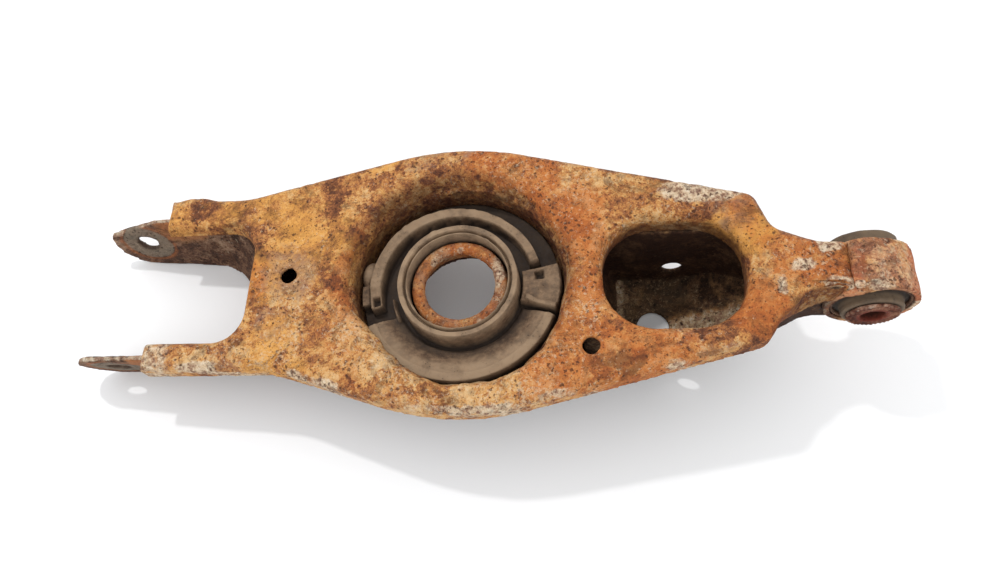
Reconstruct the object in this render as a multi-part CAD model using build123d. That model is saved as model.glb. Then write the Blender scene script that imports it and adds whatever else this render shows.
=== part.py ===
from build123d import *
import math
import os

# Rear suspension control arm: a pressed upper pan with a spring cup and a window for the
# damper, a pressed lower channel whose walls run out as two fork ears, a deep damper
# bracket, and a welded eye with a rubber bush.
#
# The parts are drawn in the arm's own frame: the origin is the centre of the eye, +Y runs
# along the eye's bore, X lies along the line from the fork's holes to the eye, and Z is
# square to the upper pan. They are exported in the resting frame, in which the arm lies on
# its fork ears and on the belly of the damper bracket, so the eye end points up a little.

SHEET = 3.0
REST_TILT = 7.06

# Fork ears, which lean outward towards their upper edges
PIVOT_LENGTH = 442.4
EAR_INNER = 40.5
EAR_SHEET = 3.5
EAR_LEAN = 9.0
EAR_NOSE_RADIUS = 22.0
EAR_NOSE_BACK = 2.0
EAR_NOSE_DROP = 2.0
EAR_ROOT_X = -382.0
EAR_SHOULDER_X = -414.4
FORK_HOLE_RADIUS = 6.3

# Upper pan
TOP = 24.5
PLATE_UNDER = TOP - SHEET
SKIRT_FOOT = 9.0
RIM_RADIUS = 6.0
PAN_LEGS = ((1, -417.9, 59.0), (-1, -414.9, 54.0))
PAN_NOTCH_HALF = 36.0
PAN_NOTCH_ROOT_X = -357.9
PAN_NOTCH_CORNER = 17.0
PAN_NOTCH_FOOT = 15.5
TONGUE_X = -14.0
TONGUE_HALF = 15.2
SMALL_HOLE_RADIUS = 4.8
SMALL_HOLES = ((-331.4, 3.0), (-154.9, -43.5))

# Spring cup, pressed into the pan
CUP_X = -231.7
CUP_Y = 1.0
CUP_LIP_RADIUS = 68.0
CUP_WALL_RADIUS = 63.8
CUP_SEAT_RADIUS = 61.2
CUP_FLOOR = -7.5
RING_OUTER = 28.7
RING_INNER = 21.1
RING_TOP = 9.0
RING_SKIRT_FOOT = 4.0

# Window for the damper
WINDOW_X = -107.9
WINDOW_LENGTH = 79.0
WINDOW_WIDTH = 65.0
WINDOW_CORNER = 29.0
WINDOW_FLANGE_FOOT = 6.5

# Lower channel, nested inside the pan's skirt
CHANNEL_FLOOR = -28.0
CHANNEL_END_X = -145.0
CHANNEL_OPEN_X = -152.0
CHANNEL_NOTCH_ROOT_X = -351.4
CHANNEL_FOOT_ROOT_X = -375.4
CHANNEL_FOOT_CORNER = 35.0
SPRING_DRAIN_RADIUS = 34.0
# For each side: where the ear's line flares out, half width at the cup, half width at the end
CHANNEL_SIDES = ((1, -366.0, 80.0, 57.0), (-1, -340.0, 76.0, 52.0))

# Damper bracket
BRACKET_HALF = 34.5
BRACKET_START_X = -159.6
DAMPER_BOLT_X = -101.9
DAMPER_BOLT_Z = -43.0
DAMPER_BOLT_RADIUS = 6.2
BELLY_HOLE_X = -114.4
BELLY_HOLE_Y = -2.0
BELLY_HOLE_RADIUS = 10.5
BELLY_FRONT_X = -138.4
BELLY_REAR_X = -100.4
EYE_JOINT_Z = -21.5
SEAM_GAP = 0.3

# Eye and bush
EYE_OUTER = 25.0
EYE_INNER = 21.5
EYE_HALF_LENGTH = 14.7
BUSH_SLEEVE_INNER = 19.8
BUSH_SLEEVE_HALF_LENGTH = 14.0
RUBBER_HALF_LENGTH = 12.0
RUBBER_LIP_NEAR = 17.0
RUBBER_LIP_FAR = 19.2
RUBBER_LIP_INNER = 11.0
RUBBER_LIP_FACE = 18.9
RUBBER_COLLAR_FACE = 21.4
CRESCENT_INNER = 12.0
CRESCENT_OUTER = 16.0
CRESCENT_HALF_ANGLE = 38.0
INNER_SLEEVE_RADIUS = 8.6
INNER_BORE_RADIUS = 6.7
INNER_HALF_LENGTH = 21.2
FLANGE_RADIUS = 14.2
FLANGE_THICKNESS = 2.0
FLANGE_TEETH = 36
FLANGE_TOOTH_DEPTH = 0.5
FLANGE_TOOTH_WIDTH = 0.8
RUNNING_CLEARANCE = 0.05
BODY_GAP = 0.4

# Spring pad
PAD_RADIUS = 60.5
PAD_BORE = 30.0
PAD_COLLAR_RADIUS = 36.3
PAD_COLLAR_TOP = 16.5
PAD_BASE_TOP = -1.0
PAD_WALL_INNER = 45.7
PAD_WALL_OUTER = 53.5
PAD_WALL_TOP = 9.0
PAD_RAMP_INNER = 43.5
PAD_RAMP_TOP = 9.5
PAD_STOP_TOP = 7.0
PAD_WALL_ANGLES = (17.0, 196.0)
PAD_RAMP_ANGLES = (205.0, 343.0)
PAD_STOP_ANGLES = (343.0, 372.0)

# Weld beads
WELD_RADIUS = 2.6
EYE_WELD_UPPER_OUT = 1.2
EYE_WELD_UPPER_DROP = 1.3
EYE_WELD_LOWER_X = -14.2
EYE_WELD_LOWER_DROP = 0.8
EYE_WELD_LOWER_HALF = 12.0
FORK_WELD_START = 6.0
FORK_WELD_LENGTH = 26.0
BRACKET_WELD_LENGTH = 7.0

TALL = 200.0


def ground_z(x):
    """Height of the surface that the arm lies on, below the point x, in the arm's frame."""
    tilt = math.radians(REST_TILT)
    nose_x = -PIVOT_LENGTH - EAR_NOSE_BACK - EAR_NOSE_RADIUS * math.sin(tilt)
    nose_z = -EAR_NOSE_DROP - EAR_NOSE_RADIUS * math.cos(tilt)
    return nose_z - (x - nose_x) * math.tan(tilt)


def prism(sketch, low, high):
    """Solid between two heights over a sketch drawn on the XY plane."""
    return Pos(0, 0, low) * extrude(sketch, high - low)


def disc(x, y, radius, low, high):
    """Upright cylinder between two heights."""
    return Pos(x, y, (low + high) / 2) * Cylinder(radius, high - low)


def cross_rod(x, z, radius, half_length):
    """Cylinder along Y, centred on the arm's middle plane."""
    return Pos(x, 0, z) * Rot(90, 0, 0) * Cylinder(radius, 2 * half_length)


def side_plate(points, low_y, high_y):
    """Plate over an outline of X and Z values, between two places along Y."""
    wire = Polyline([Vector(x, 0, z) for x, z in points], close=True)
    face = make_face(wire.edges())
    plate = extrude(face, amount=high_y - low_y, dir=(0, 1, 0))
    return Pos(0, low_y, 0) * plate


def sector(inner, outer, angles, low, high):
    """Part of a ring about the spring's axis, between two angles in degrees."""
    start, stop = angles
    turn = math.radians((start + stop) / 2)
    half = math.radians((stop - start) / 2)
    arcs = []
    for radius in (inner, outer):
        ends = [turn - half, turn, turn + half]
        arcs.append([(radius * math.cos(a), radius * math.sin(a)) for a in ends])
    edges = [ThreePointArc(*arcs[0]), ThreePointArc(*arcs[1])]
    edges.append(Line(arcs[0][0], arcs[1][0]))
    edges.append(Line(arcs[0][2], arcs[1][2]))
    return Pos(CUP_X, CUP_Y, 0) * prism(make_face(edges), low, high)


def notch(half, root_x, corner, mouth_x=-480.0):
    """Outline of the gap between the fork's legs: two sides, two arcs and a root."""
    bend = half - corner
    edges = [
        Line((mouth_x, half), (root_x - corner, half)),
        RadiusArc((root_x - corner, half), (root_x, bend), corner),
        Line((root_x, bend), (root_x, -bend)),
        RadiusArc((root_x, -bend), (root_x - corner, -half), corner),
        Line((root_x - corner, -half), (mouth_x, -half)),
        Line((mouth_x, -half), (mouth_x, half)),
    ]
    return make_face(edges)


def oval(x, length, width, corner):
    """Rounded rectangle, centred on the middle plane."""
    return Pos(x, 0) * RectangleRounded(length, width, corner)


def pan_outline():
    """Plan of the upper pan, wider on the far side, without the fork's notch."""
    far_leg, near_leg = PAN_LEGS
    far = [
        (far_leg[1], far_leg[2]), (-366.9, 57.8), (-232.4, 92), (-60.4, 47.5), (-52.4, 25.5),
        (-30.4, 16.5), (TONGUE_X, TONGUE_HALF),
    ]
    near = [
        (near_leg[1], -near_leg[2]), (-335.4, -54), (-229.4, -86.5), (-64.4, -42.5),
        (-52.4, -27), (-30.4, -16.5), (TONGUE_X, -TONGUE_HALF),
    ]
    far_edges = FilletPolyline(*far, radius=[45, 160, 10, 12, 25])
    near_edges = FilletPolyline(*near, radius=[60, 150, 12, 10, 25])
    ends = [Line(far[0], near[0]), Line(far[-1], near[-1])]
    return make_face(far_edges.edges() + near_edges.edges() + ends)


def spring_cup():
    """Cup for the spring's pad, with its centre ring, turned about the spring's axis."""
    upper = [
        (CUP_LIP_RADIUS, TOP), (CUP_LIP_RADIUS - 2.5, TOP - 1.5), (CUP_WALL_RADIUS, TOP - 8),
        (CUP_SEAT_RADIUS, CUP_FLOOR), (RING_OUTER + 1, CUP_FLOOR), (RING_OUTER, RING_TOP - 1.5),
        (RING_OUTER - 1.5, RING_TOP), (RING_INNER + 1, RING_TOP), (RING_INNER, RING_TOP - 1),
        (RING_INNER, RING_SKIRT_FOOT),
    ]
    lower = [
        (RING_INNER + SHEET, RING_SKIRT_FOOT), (RING_INNER + SHEET, RING_TOP - SHEET),
        (RING_OUTER - SHEET, RING_TOP - SHEET), (RING_OUTER - 2.2, CUP_FLOOR - SHEET),
        (CUP_SEAT_RADIUS + 2.4, CUP_FLOOR - SHEET), (CUP_WALL_RADIUS + SHEET, PLATE_UNDER - 7),
        (CUP_LIP_RADIUS, PLATE_UNDER),
    ]
    wire = Polyline([Vector(r, 0, z) for r, z in upper + lower], close=True)
    return Pos(CUP_X, CUP_Y, 0) * revolve(make_face(wire.edges()), Axis.Z, 360)


def cup_space():
    """Room that the cup takes up inside the arm, with a little clearance."""
    step = PLATE_UNDER - 7
    space = disc(CUP_X, CUP_Y, CUP_WALL_RADIUS + SHEET + SEAM_GAP, CUP_FLOOR - SHEET, step)
    return space + disc(CUP_X, CUP_Y, CUP_LIP_RADIUS + SEAM_GAP, step - 1, TOP + 1)


def upper_shell():
    """Pan pressed from one sheet: plate, rim, window flange and tongue."""
    plan = pan_outline() - notch(PAN_NOTCH_HALF, PAN_NOTCH_ROOT_X, PAN_NOTCH_CORNER)
    outer = prism(plan, SKIRT_FOOT, TOP)
    outer = fillet(outer.edges().group_by(Axis.Z)[-1], RIM_RADIUS)
    inner = prism(offset(plan, -SHEET), SKIRT_FOOT - 1, PLATE_UNDER)
    for side, leg_x, outer_half in PAN_LEGS:
        middle = side * (outer_half + PAN_NOTCH_HALF) / 2
        width = outer_half - PAN_NOTCH_HALF - 2 * SHEET
        mouth = Pos(leg_x, middle) * Rectangle(4 * SHEET, width)
        inner += prism(mouth, SKIRT_FOOT - 1, PLATE_UNDER)
    tongue_mouth = Pos(TONGUE_X, 0) * Rectangle(4 * SHEET, 2 * (TONGUE_HALF - SHEET))
    inner += prism(tongue_mouth, SKIRT_FOOT - 1, PLATE_UNDER)
    pan = outer - inner
    pan -= prism(notch_flange_plan(), SKIRT_FOOT - 1, PAN_NOTCH_FOOT)
    pan -= disc(CUP_X, CUP_Y, CUP_LIP_RADIUS, SKIRT_FOOT - 5, TOP + 1)
    pan += window_flange()
    hole = oval(WINDOW_X, WINDOW_LENGTH, WINDOW_WIDTH, WINDOW_CORNER)
    pan -= prism(hole, WINDOW_FLANGE_FOOT - 1, TOP + 1)
    for x, y in SMALL_HOLES:
        pan -= disc(x, y, SMALL_HOLE_RADIUS, PLATE_UNDER - 1, TOP + 1)
    return pan - cross_rod(0, 0, EYE_OUTER, TALL)


def notch_flange_plan():
    """Space that the pan's notch takes up, with the thickness of its turned-down edge."""
    half = PAN_NOTCH_HALF + SHEET + 0.2
    root_x = PAN_NOTCH_ROOT_X + SHEET + 0.2
    return notch(half, root_x, PAN_NOTCH_CORNER + SHEET)


def window_flange():
    """Turned-down edge of the damper's window."""
    corner = WINDOW_CORNER + SHEET
    outside = oval(WINDOW_X, WINDOW_LENGTH + 2 * SHEET, WINDOW_WIDTH + 2 * SHEET, corner)
    return prism(outside, WINDOW_FLANGE_FOOT, PLATE_UNDER + 1)


def channel_plan(spread, inset):
    """Plan of the lower channel at one height, drawn in from its outer face."""
    edges = []
    tails = []
    for side, flare_x, belly, rear in CHANNEL_SIDES:
        ear = EAR_INNER + EAR_SHEET + spread - inset
        points = [
            (EAR_SHOULDER_X + 2, side * ear), (flare_x, side * ear),
            (CUP_X, side * (belly + spread - inset)),
            (CHANNEL_END_X, side * (rear + 0.4 * spread - inset)),
        ]
        edges += FilletPolyline(*points, radius=[60.0, 110.0]).edges()
        tails.append(points)
    edges.append(Line(tails[0][0], tails[1][0]))
    edges.append(Line(tails[0][-1], tails[1][-1]))
    return make_face(edges)


def channel_body(inset, low, high):
    """Solid inside the channel's drafted walls, narrower at the floor than at the pan."""
    draft = math.tan(math.radians(EAR_LEAN))
    foot = channel_plan(low * draft, inset)
    head = channel_plan(high * draft, inset)
    return loft([Pos(0, 0, low) * foot, Pos(0, 0, high) * head], ruled=True)


def channel_notch(grow):
    """Space between the fork's legs, which narrows towards the ears' lower edges."""
    draft = math.tan(math.radians(EAR_LEAN))
    low = CHANNEL_FLOOR - 1
    half = EAR_INNER + grow
    head = notch(half + TOP * draft, CHANNEL_NOTCH_ROOT_X + grow, PAN_NOTCH_CORNER + grow)
    foot = notch(half + low * draft, CHANNEL_FOOT_ROOT_X + grow, CHANNEL_FOOT_CORNER + grow)
    return loft([Pos(0, 0, low) * foot, Pos(0, 0, TOP) * head], ruled=True)


def ear_profile():
    """Ear seen from the side, with the fork's hole left out."""
    tilt = math.radians(REST_TILT)
    nose = Vector(-PIVOT_LENGTH - EAR_NOSE_BACK, 0, -EAR_NOSE_DROP)
    radius = EAR_NOSE_RADIUS
    foot = nose + Vector(-math.sin(tilt), 0, -math.cos(tilt)) * radius
    rise = math.radians(6.0)
    head = nose + Vector(-math.sin(rise), 0, math.cos(rise)) * radius
    front = nose + Vector(-1, 0, 0) * radius
    heel = Vector(EAR_ROOT_X, 0, CHANNEL_FLOOR)
    bend = Vector(EAR_SHOULDER_X, 0, ground_z(EAR_SHOULDER_X) + 0.2)
    crown = Vector(EAR_ROOT_X, 0, PLATE_UNDER)
    lip = Vector(EAR_SHOULDER_X + 4, 0, PLATE_UNDER)
    edges = [
        ThreePointArc(foot, front, head), Line(head, lip), Line(lip, crown),
        Line(crown, heel), Line(heel, bend), Line(bend, foot),
    ]
    return make_face(edges)


def ear(side):
    """One of the fork's ears, leaning outward about the line of the holes."""
    plate = extrude(ear_profile(), amount=side * EAR_SHEET, dir=(0, 1, 0))
    return Pos(0, side * EAR_INNER, 0) * Rot(-side * EAR_LEAN, 0, 0) * plate


def lower_shell():
    """Channel pressed from one sheet, with the two ears as its front ends."""
    shell = channel_body(0, CHANNEL_FLOOR, PLATE_UNDER) - channel_notch(0)
    inside = channel_body(SHEET, CHANNEL_FLOOR + SHEET, TOP)
    tail_width = 2 * (BRACKET_HALF + SEAM_GAP)
    mouth = Pos(CHANNEL_END_X, 0) * Rectangle(8, tail_width + 2)
    inside += prism(mouth, CHANNEL_FLOOR + SHEET, TOP)
    shell -= inside - channel_notch(SHEET)
    tail_length = CHANNEL_END_X + 10 - CHANNEL_OPEN_X
    tail = Pos(CHANNEL_OPEN_X + tail_length / 2, 0) * Rectangle(tail_length, tail_width)
    shell -= prism(tail, CHANNEL_FLOOR - 1, TOP)
    for side in (1, -1):
        shell += ear(side)
    shell -= prism(notch_flange_plan(), PAN_NOTCH_FOOT, TOP + 1)
    shell -= prism(Pos(EAR_SHOULDER_X, 0) * Rectangle(200, 200), PLATE_UNDER, TOP + 9)
    shell -= cross_rod(-PIVOT_LENGTH, 0, FORK_HOLE_RADIUS, TALL)
    shell -= disc(CUP_X, CUP_Y, SPRING_DRAIN_RADIUS, CHANNEL_FLOOR - 1, CUP_FLOOR)
    return shell - cup_space()


def bracket_profile(inset):
    """Side view of the damper bracket: belly on the ground, rising to the eye."""
    over = 0 if inset == 0 else 1
    front = BRACKET_START_X - over
    ledge = CHANNEL_FLOOR + SHEET + SEAM_GAP + inset
    top = PLATE_UNDER + over
    points = [
        (front, top), (front, ledge), (BRACKET_START_X + 8, ledge),
        (BELLY_FRONT_X + 0.3 * inset, ground_z(BELLY_FRONT_X) + inset),
        (BELLY_REAR_X - 0.2 * inset, ground_z(BELLY_REAR_X) + inset),
        (-74.4 - 0.4 * inset, -51.5 + inset), (-26.4 - 0.4 * inset, EYE_JOINT_Z + inset),
        (0.0, EYE_JOINT_Z + inset), (0.0, top),
    ]
    return points


def bracket_plan(inset):
    """Plan of the damper bracket: parallel walls that close in on the eye."""
    half = BRACKET_HALF - inset
    points = [
        (BRACKET_START_X - inset, half), (-78.4, half), (-58.4, 23.5 - inset),
        (-46.4, 17.2 - inset), (-32.4, 12.0 - inset), (0, 12.0 - inset),
    ]
    return Polyline(points + [(x, -y) for x, y in reversed(points)], close=True)


def bracket_box():
    """Walls and floor of the damper bracket together, coped onto the arm's eye."""
    shell = side_plate(bracket_profile(0), -BRACKET_HALF, BRACKET_HALF)
    shell &= prism(make_face(bracket_plan(0).edges()), -TALL, TALL)
    inside = side_plate(bracket_profile(SHEET), -BRACKET_HALF, BRACKET_HALF)
    inside &= prism(make_face(bracket_plan(SHEET).edges()), -TALL, TALL)
    shell -= inside
    outside = oval(WINDOW_X, WINDOW_LENGTH + 2 * SHEET, WINDOW_WIDTH + 2 * SHEET,
                   WINDOW_CORNER + SHEET)
    shell -= prism(outside, WINDOW_FLANGE_FOOT, TOP)
    return shell - cross_rod(0, 0, EYE_OUTER, TALL)


def damper_bracket():
    """Floor and front wall between the bracket's two sides."""
    floor = bracket_box() & prism(make_face(bracket_plan(SHEET).edges()), -TALL, TALL)
    return floor - disc(BELLY_HOLE_X, BELLY_HOLE_Y, BELLY_HOLE_RADIUS, -TALL, CHANNEL_FLOOR)


def bracket_side(side):
    """Side of the damper bracket, with the damper's bolt hole."""
    wall = bracket_box() - prism(make_face(bracket_plan(SHEET).edges()), -TALL, TALL)
    wall -= cross_rod(DAMPER_BOLT_X, DAMPER_BOLT_Z, DAMPER_BOLT_RADIUS, TALL)
    return wall & (Pos(0, side * TALL / 2, 0) * Box(2 * TALL, TALL, 2 * TALL))


def eye_ring():
    """Steel tube welded across the end of the arm."""
    return cross_rod(0, 0, EYE_OUTER, EYE_HALF_LENGTH) - cross_rod(0, 0, EYE_INNER, TALL)


def bush_outer_sleeve():
    """Thin steel sleeve pressed into the eye."""
    sleeve = cross_rod(0, 0, EYE_INNER, BUSH_SLEEVE_HALF_LENGTH)
    return sleeve - cross_rod(0, 0, BUSH_SLEEVE_INNER, TALL)


def crescent(turn):
    """Space moulded through the rubber, to one side of its centre."""
    half = math.radians(CRESCENT_HALF_ANGLE)
    angles = [turn - half, turn, turn + half]
    arcs = []
    for radius in (CRESCENT_INNER, CRESCENT_OUTER):
        arcs.append([(radius * math.cos(a), radius * math.sin(a)) for a in angles])
    edges = [ThreePointArc(*arcs[0]), ThreePointArc(*arcs[1])]
    edges.append(Line(arcs[0][0], arcs[1][0]))
    edges.append(Line(arcs[0][2], arcs[1][2]))
    return Rot(90, 0, 0) * prism(make_face(edges), -TALL, TALL)


def end_rod(side, radius, near, far):
    """Cylinder along the bush's axis between two distances from its middle."""
    middle = side * (near + far) / 2
    return Pos(0, middle, 0) * cross_rod(0, 0, radius, (far - near) / 2)


def bush_rubber():
    """Rubber between the two sleeves, with a lip at one end and a collar at the other."""
    base = RUBBER_HALF_LENGTH
    rubber = cross_rod(0, 0, BUSH_SLEEVE_INNER, base)
    rubber += end_rod(-1, RUBBER_LIP_NEAR, base - 1, RUBBER_LIP_FACE)
    rubber += end_rod(1, RUBBER_LIP_FAR, base - 1, RUBBER_COLLAR_FACE)
    rubber -= end_rod(1, FLANGE_RADIUS + BODY_GAP, RUBBER_LIP_FACE, RUBBER_COLLAR_FACE + 1)
    for side in (1, -1):
        rubber -= end_rod(side, RUBBER_LIP_INNER, base, RUBBER_COLLAR_FACE + 1)
    rubber -= crescent(0) & cross_rod(0, 0, BUSH_SLEEVE_INNER, base)
    rubber -= crescent(math.pi) & cross_rod(0, 0, BUSH_SLEEVE_INNER, base)
    return rubber - cross_rod(0, 0, INNER_SLEEVE_RADIUS + RUNNING_CLEARANCE, TALL)


def bush_inner_sleeve():
    """Inner steel sleeve with a serrated flange at each end."""
    sleeve = cross_rod(0, 0, INNER_SLEEVE_RADIUS, INNER_HALF_LENGTH)
    middle = INNER_HALF_LENGTH - FLANGE_THICKNESS / 2
    face = INNER_HALF_LENGTH + FLANGE_TOOTH_DEPTH / 2
    for side in (1, -1):
        flange = Rot(90, 0, 0) * Cylinder(FLANGE_RADIUS, FLANGE_THICKNESS)
        sleeve += Pos(0, side * middle, 0) * flange
        for tooth in range(FLANGE_TEETH):
            angle = 360.0 * tooth / FLANGE_TEETH
            reach = (FLANGE_RADIUS + INNER_SLEEVE_RADIUS) / 2 + 0.5
            length = FLANGE_RADIUS - INNER_SLEEVE_RADIUS - 1.5
            ridge = Box(length, FLANGE_TOOTH_DEPTH, FLANGE_TOOTH_WIDTH)
            sleeve += Rot(0, angle, 0) * Pos(reach, side * face, 0) * ridge
    return sleeve - cross_rod(0, 0, INNER_BORE_RADIUS, TALL)


def spring_pad():
    """Rubber pad in the cup: collar, groove for the coil, wall, ramp and end stop."""
    pad = disc(CUP_X, CUP_Y, PAD_RADIUS, CUP_FLOOR, PAD_BASE_TOP)
    pad += disc(CUP_X, CUP_Y, PAD_COLLAR_RADIUS, CUP_FLOOR, PAD_COLLAR_TOP)
    low = PAD_BASE_TOP - 1
    pad += sector(PAD_WALL_INNER, PAD_WALL_OUTER, PAD_WALL_ANGLES, low, PAD_WALL_TOP)
    pad += sector(PAD_RAMP_INNER, PAD_RADIUS, PAD_RAMP_ANGLES, low, PAD_RAMP_TOP)
    pad += sector(PAD_COLLAR_RADIUS - 1, PAD_RADIUS, PAD_STOP_ANGLES, low, PAD_STOP_TOP)
    return pad - disc(CUP_X, CUP_Y, PAD_BORE, CUP_FLOOR - 1, PAD_COLLAR_TOP + 1)


def eye_weld_upper():
    """Bead between the pan's tongue and the eye."""
    x, z = TONGUE_X + EYE_WELD_UPPER_OUT, TOP - EYE_WELD_UPPER_DROP
    bead = cross_rod(x, z, WELD_RADIUS, TONGUE_HALF - 2)
    bead -= prism(Pos(TONGUE_X - 20, 0) * Rectangle(40, 60), 0, TOP)
    bead -= prism(Pos(TONGUE_X, 0) * Rectangle(40, 60), 0, PLATE_UNDER)
    return bead - cross_rod(0, 0, EYE_OUTER, TALL)


def eye_weld_lower():
    """Bead between the bracket's floor and the underside of the eye."""
    z = EYE_JOINT_Z - EYE_WELD_LOWER_DROP
    bead = cross_rod(EYE_WELD_LOWER_X, z, WELD_RADIUS, EYE_WELD_LOWER_HALF)
    bead -= prism(Pos(-30, 0) * Rectangle(60, 60), EYE_JOINT_Z, 0)
    return bead - cross_rod(0, 0, EYE_OUTER, TALL)


def fork_weld(side):
    """Bead along the top of one ear, in the corner under the pan."""
    draft = math.tan(math.radians(EAR_LEAN))
    face = EAR_INNER + EAR_SHEET + PLATE_UNDER * draft
    middle = EAR_SHOULDER_X + FORK_WELD_START + FORK_WELD_LENGTH / 2
    bead = Cylinder(WELD_RADIUS, FORK_WELD_LENGTH)
    bead = Pos(middle, side * face, PLATE_UNDER) * Rot(0, 90, 0) * bead
    corner = Pos(middle, side * (face + TALL / 2), PLATE_UNDER - TALL / 2)
    return (bead & (corner * Box(2 * FORK_WELD_LENGTH, TALL, TALL))) - ear(side)


def bracket_weld(side):
    """Bead along the channel's lower face, in the corner beside the bracket."""
    middle = (CHANNEL_OPEN_X + CHANNEL_END_X) / 2
    bead = Cylinder(WELD_RADIUS, BRACKET_WELD_LENGTH)
    bead = Pos(middle, side * BRACKET_HALF, CHANNEL_FLOOR) * Rot(0, 90, 0) * bead
    corner = Pos(middle, side * (BRACKET_HALF + TALL / 2), CHANNEL_FLOOR - TALL / 2)
    return bead & (corner * Box(TALL, TALL, TALL))


PARTS = {
    "upper_shell": upper_shell,
    "spring_cup": spring_cup,
    "lower_shell": lower_shell,
    "damper_bracket": damper_bracket,
    "bracket_side_far": lambda: bracket_side(1),
    "bracket_side_near": lambda: bracket_side(-1),
    "eye_ring": eye_ring,
    "bush_outer_sleeve": bush_outer_sleeve,
    "bush_rubber": bush_rubber,
    "bush_inner_sleeve": bush_inner_sleeve,
    "spring_pad": spring_pad,
    "eye_weld_upper": eye_weld_upper,
    "eye_weld_lower": eye_weld_lower,
    "fork_weld_far": lambda: fork_weld(1),
    "fork_weld_near": lambda: fork_weld(-1),
    "bracket_weld_far": lambda: bracket_weld(1),
    "bracket_weld_near": lambda: bracket_weld(-1),
}

os.makedirs("parts", exist_ok=True)
for name, make in PARTS.items():
    export_step(Rot(0, -REST_TILT, 0) * make(), f"parts/{name}.step")
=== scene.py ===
import math

import bmesh
import bpy
import numpy as np
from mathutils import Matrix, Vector


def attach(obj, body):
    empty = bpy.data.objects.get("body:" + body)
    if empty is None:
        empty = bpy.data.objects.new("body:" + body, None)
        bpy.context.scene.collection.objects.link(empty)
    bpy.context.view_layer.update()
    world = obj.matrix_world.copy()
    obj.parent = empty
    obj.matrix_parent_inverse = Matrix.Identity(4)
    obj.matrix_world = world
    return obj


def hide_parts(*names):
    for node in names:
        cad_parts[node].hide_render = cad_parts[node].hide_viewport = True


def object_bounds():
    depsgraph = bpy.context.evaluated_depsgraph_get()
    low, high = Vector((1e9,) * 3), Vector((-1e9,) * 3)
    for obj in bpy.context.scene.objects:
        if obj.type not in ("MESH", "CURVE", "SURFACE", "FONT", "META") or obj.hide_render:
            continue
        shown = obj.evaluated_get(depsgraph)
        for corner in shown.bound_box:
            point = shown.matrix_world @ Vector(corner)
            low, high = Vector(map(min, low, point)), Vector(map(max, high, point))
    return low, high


MM = 0.001
TILT = math.radians(7.06)
COS, SIN = math.cos(TILT), math.sin(TILT)

# The arm's own frame has X along the pivot line and Z square to the top plate, in mm.
CUP_X, CUP_Y, CUP_LIP = -231.7, 1.0, 65.6
RING_RADIUS = 31
FORK_X = -442.4
EAR_X, EAR_RADIUS, EAR_DROP = -444.4, 22.0, 2
EYE_RADIUS = 25.0
HOLE_FORK_END, HOLE_EYE_END = (-331.4, 3.0), (-154.9, -43.5)
WINDOW_X, WINDOW_HALF_X, WINDOW_HALF_Y, WINDOW_CORNER = -107.9, 39.5, 32.5, 29.0
NOTCH_ROOT_X, NOTCH_HALF, NOTCH_CORNER = -357.9, 36.0, 17.0

CAMERA_AT = (-0.2024, -0.1743, 0.3815)
CAMERA_PITCH = math.radians(66.10)
CAMERA_HEADING = math.radians(1.41)
LENS = 26.65
LAMP_AT, LAMP_AIM = (-0.5174, 0.327, 0.8607), (-0.2, 0, 0)
LAMP_SIZE, LAMP_POWER = 0.045, 2.7
SKY_COLOUR, SKY_STRENGTH = (0.98, 0.99, 1.0, 1), 1.13
FLOOR_HALF = 3.0

# Large odd numbers that scatter the cells of the noise, and a shift that keeps cells positive.
SCATTER = (374761393, 668265263, 2147483647)
SCATTER_SEED, SCATTER_AGAIN, SCATTER_BITS = 974711, 1274126177, 0xFFFFFF
CELL_SHIFT = 1000.0

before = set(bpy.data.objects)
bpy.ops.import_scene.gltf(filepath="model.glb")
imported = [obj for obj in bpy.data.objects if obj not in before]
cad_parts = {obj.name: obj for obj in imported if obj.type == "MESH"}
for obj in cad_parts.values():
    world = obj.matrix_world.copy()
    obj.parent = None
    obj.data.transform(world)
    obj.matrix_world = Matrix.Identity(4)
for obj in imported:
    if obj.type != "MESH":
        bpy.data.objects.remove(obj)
cad_low, cad_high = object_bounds()
scene = bpy.context.scene
scene.view_settings.view_transform = "Standard"


# ---------------------------------------------------------------- geometry helpers

def to_arm(points):
    """Row-frame metres to arm-frame mm."""
    x, z = points[:, 0], points[:, 2]
    return np.column_stack((x * COS + z * SIN, points[:, 1], z * COS - x * SIN)) / MM


def to_row(points):
    """Arm-frame mm to row-frame metres."""
    x, z = points[:, 0], points[:, 2]
    return np.column_stack((x * COS - z * SIN, points[:, 1], x * SIN + z * COS)) * MM


def to_arm_turn(vectors):
    """Directions in the row frame to the arm frame."""
    x, z = vectors[:, 0], vectors[:, 2]
    return np.column_stack((x * COS + z * SIN, vectors[:, 1], z * COS - x * SIN))


def hashed(cells, seed):
    """A repeatable number from 0 to 1 for each whole-number cell."""
    h = cells[:, 0] * SCATTER[0] + cells[:, 1] * SCATTER[1] + cells[:, 2] * SCATTER[2] + seed * SCATTER_SEED
    h = (h ^ (h >> 13)) * SCATTER_AGAIN
    h = (h ^ (h >> 16)) & SCATTER_BITS
    return h / float(SCATTER_BITS)


def value_noise(points, size, seed):
    """Smooth noise from -1 to 1 whose bumps are about size mm apart."""
    q = points / size + CELL_SHIFT
    base = np.floor(q).astype(np.int64)
    f = q - base
    f = f * f * (3 - 2 * f)
    total = np.zeros(len(points))
    for corner in range(8):
        step = np.array([corner & 1, corner >> 1 & 1, corner >> 2 & 1])
        weight = np.prod(np.where(step == 1, f, 1 - f), axis=1)
        total += weight * hashed(base + step, seed)
    return total * 2 - 1


def fractal(points, size, seed, octaves=4):
    """Layers of noise, each half the size and strength of the one before."""
    total = np.zeros(len(points))
    strength, scale = 1.0, size
    for octave in range(octaves):
        total += strength * value_noise(points, scale, seed + octave)
        strength *= 0.5
        scale *= 0.5
    return total


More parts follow.
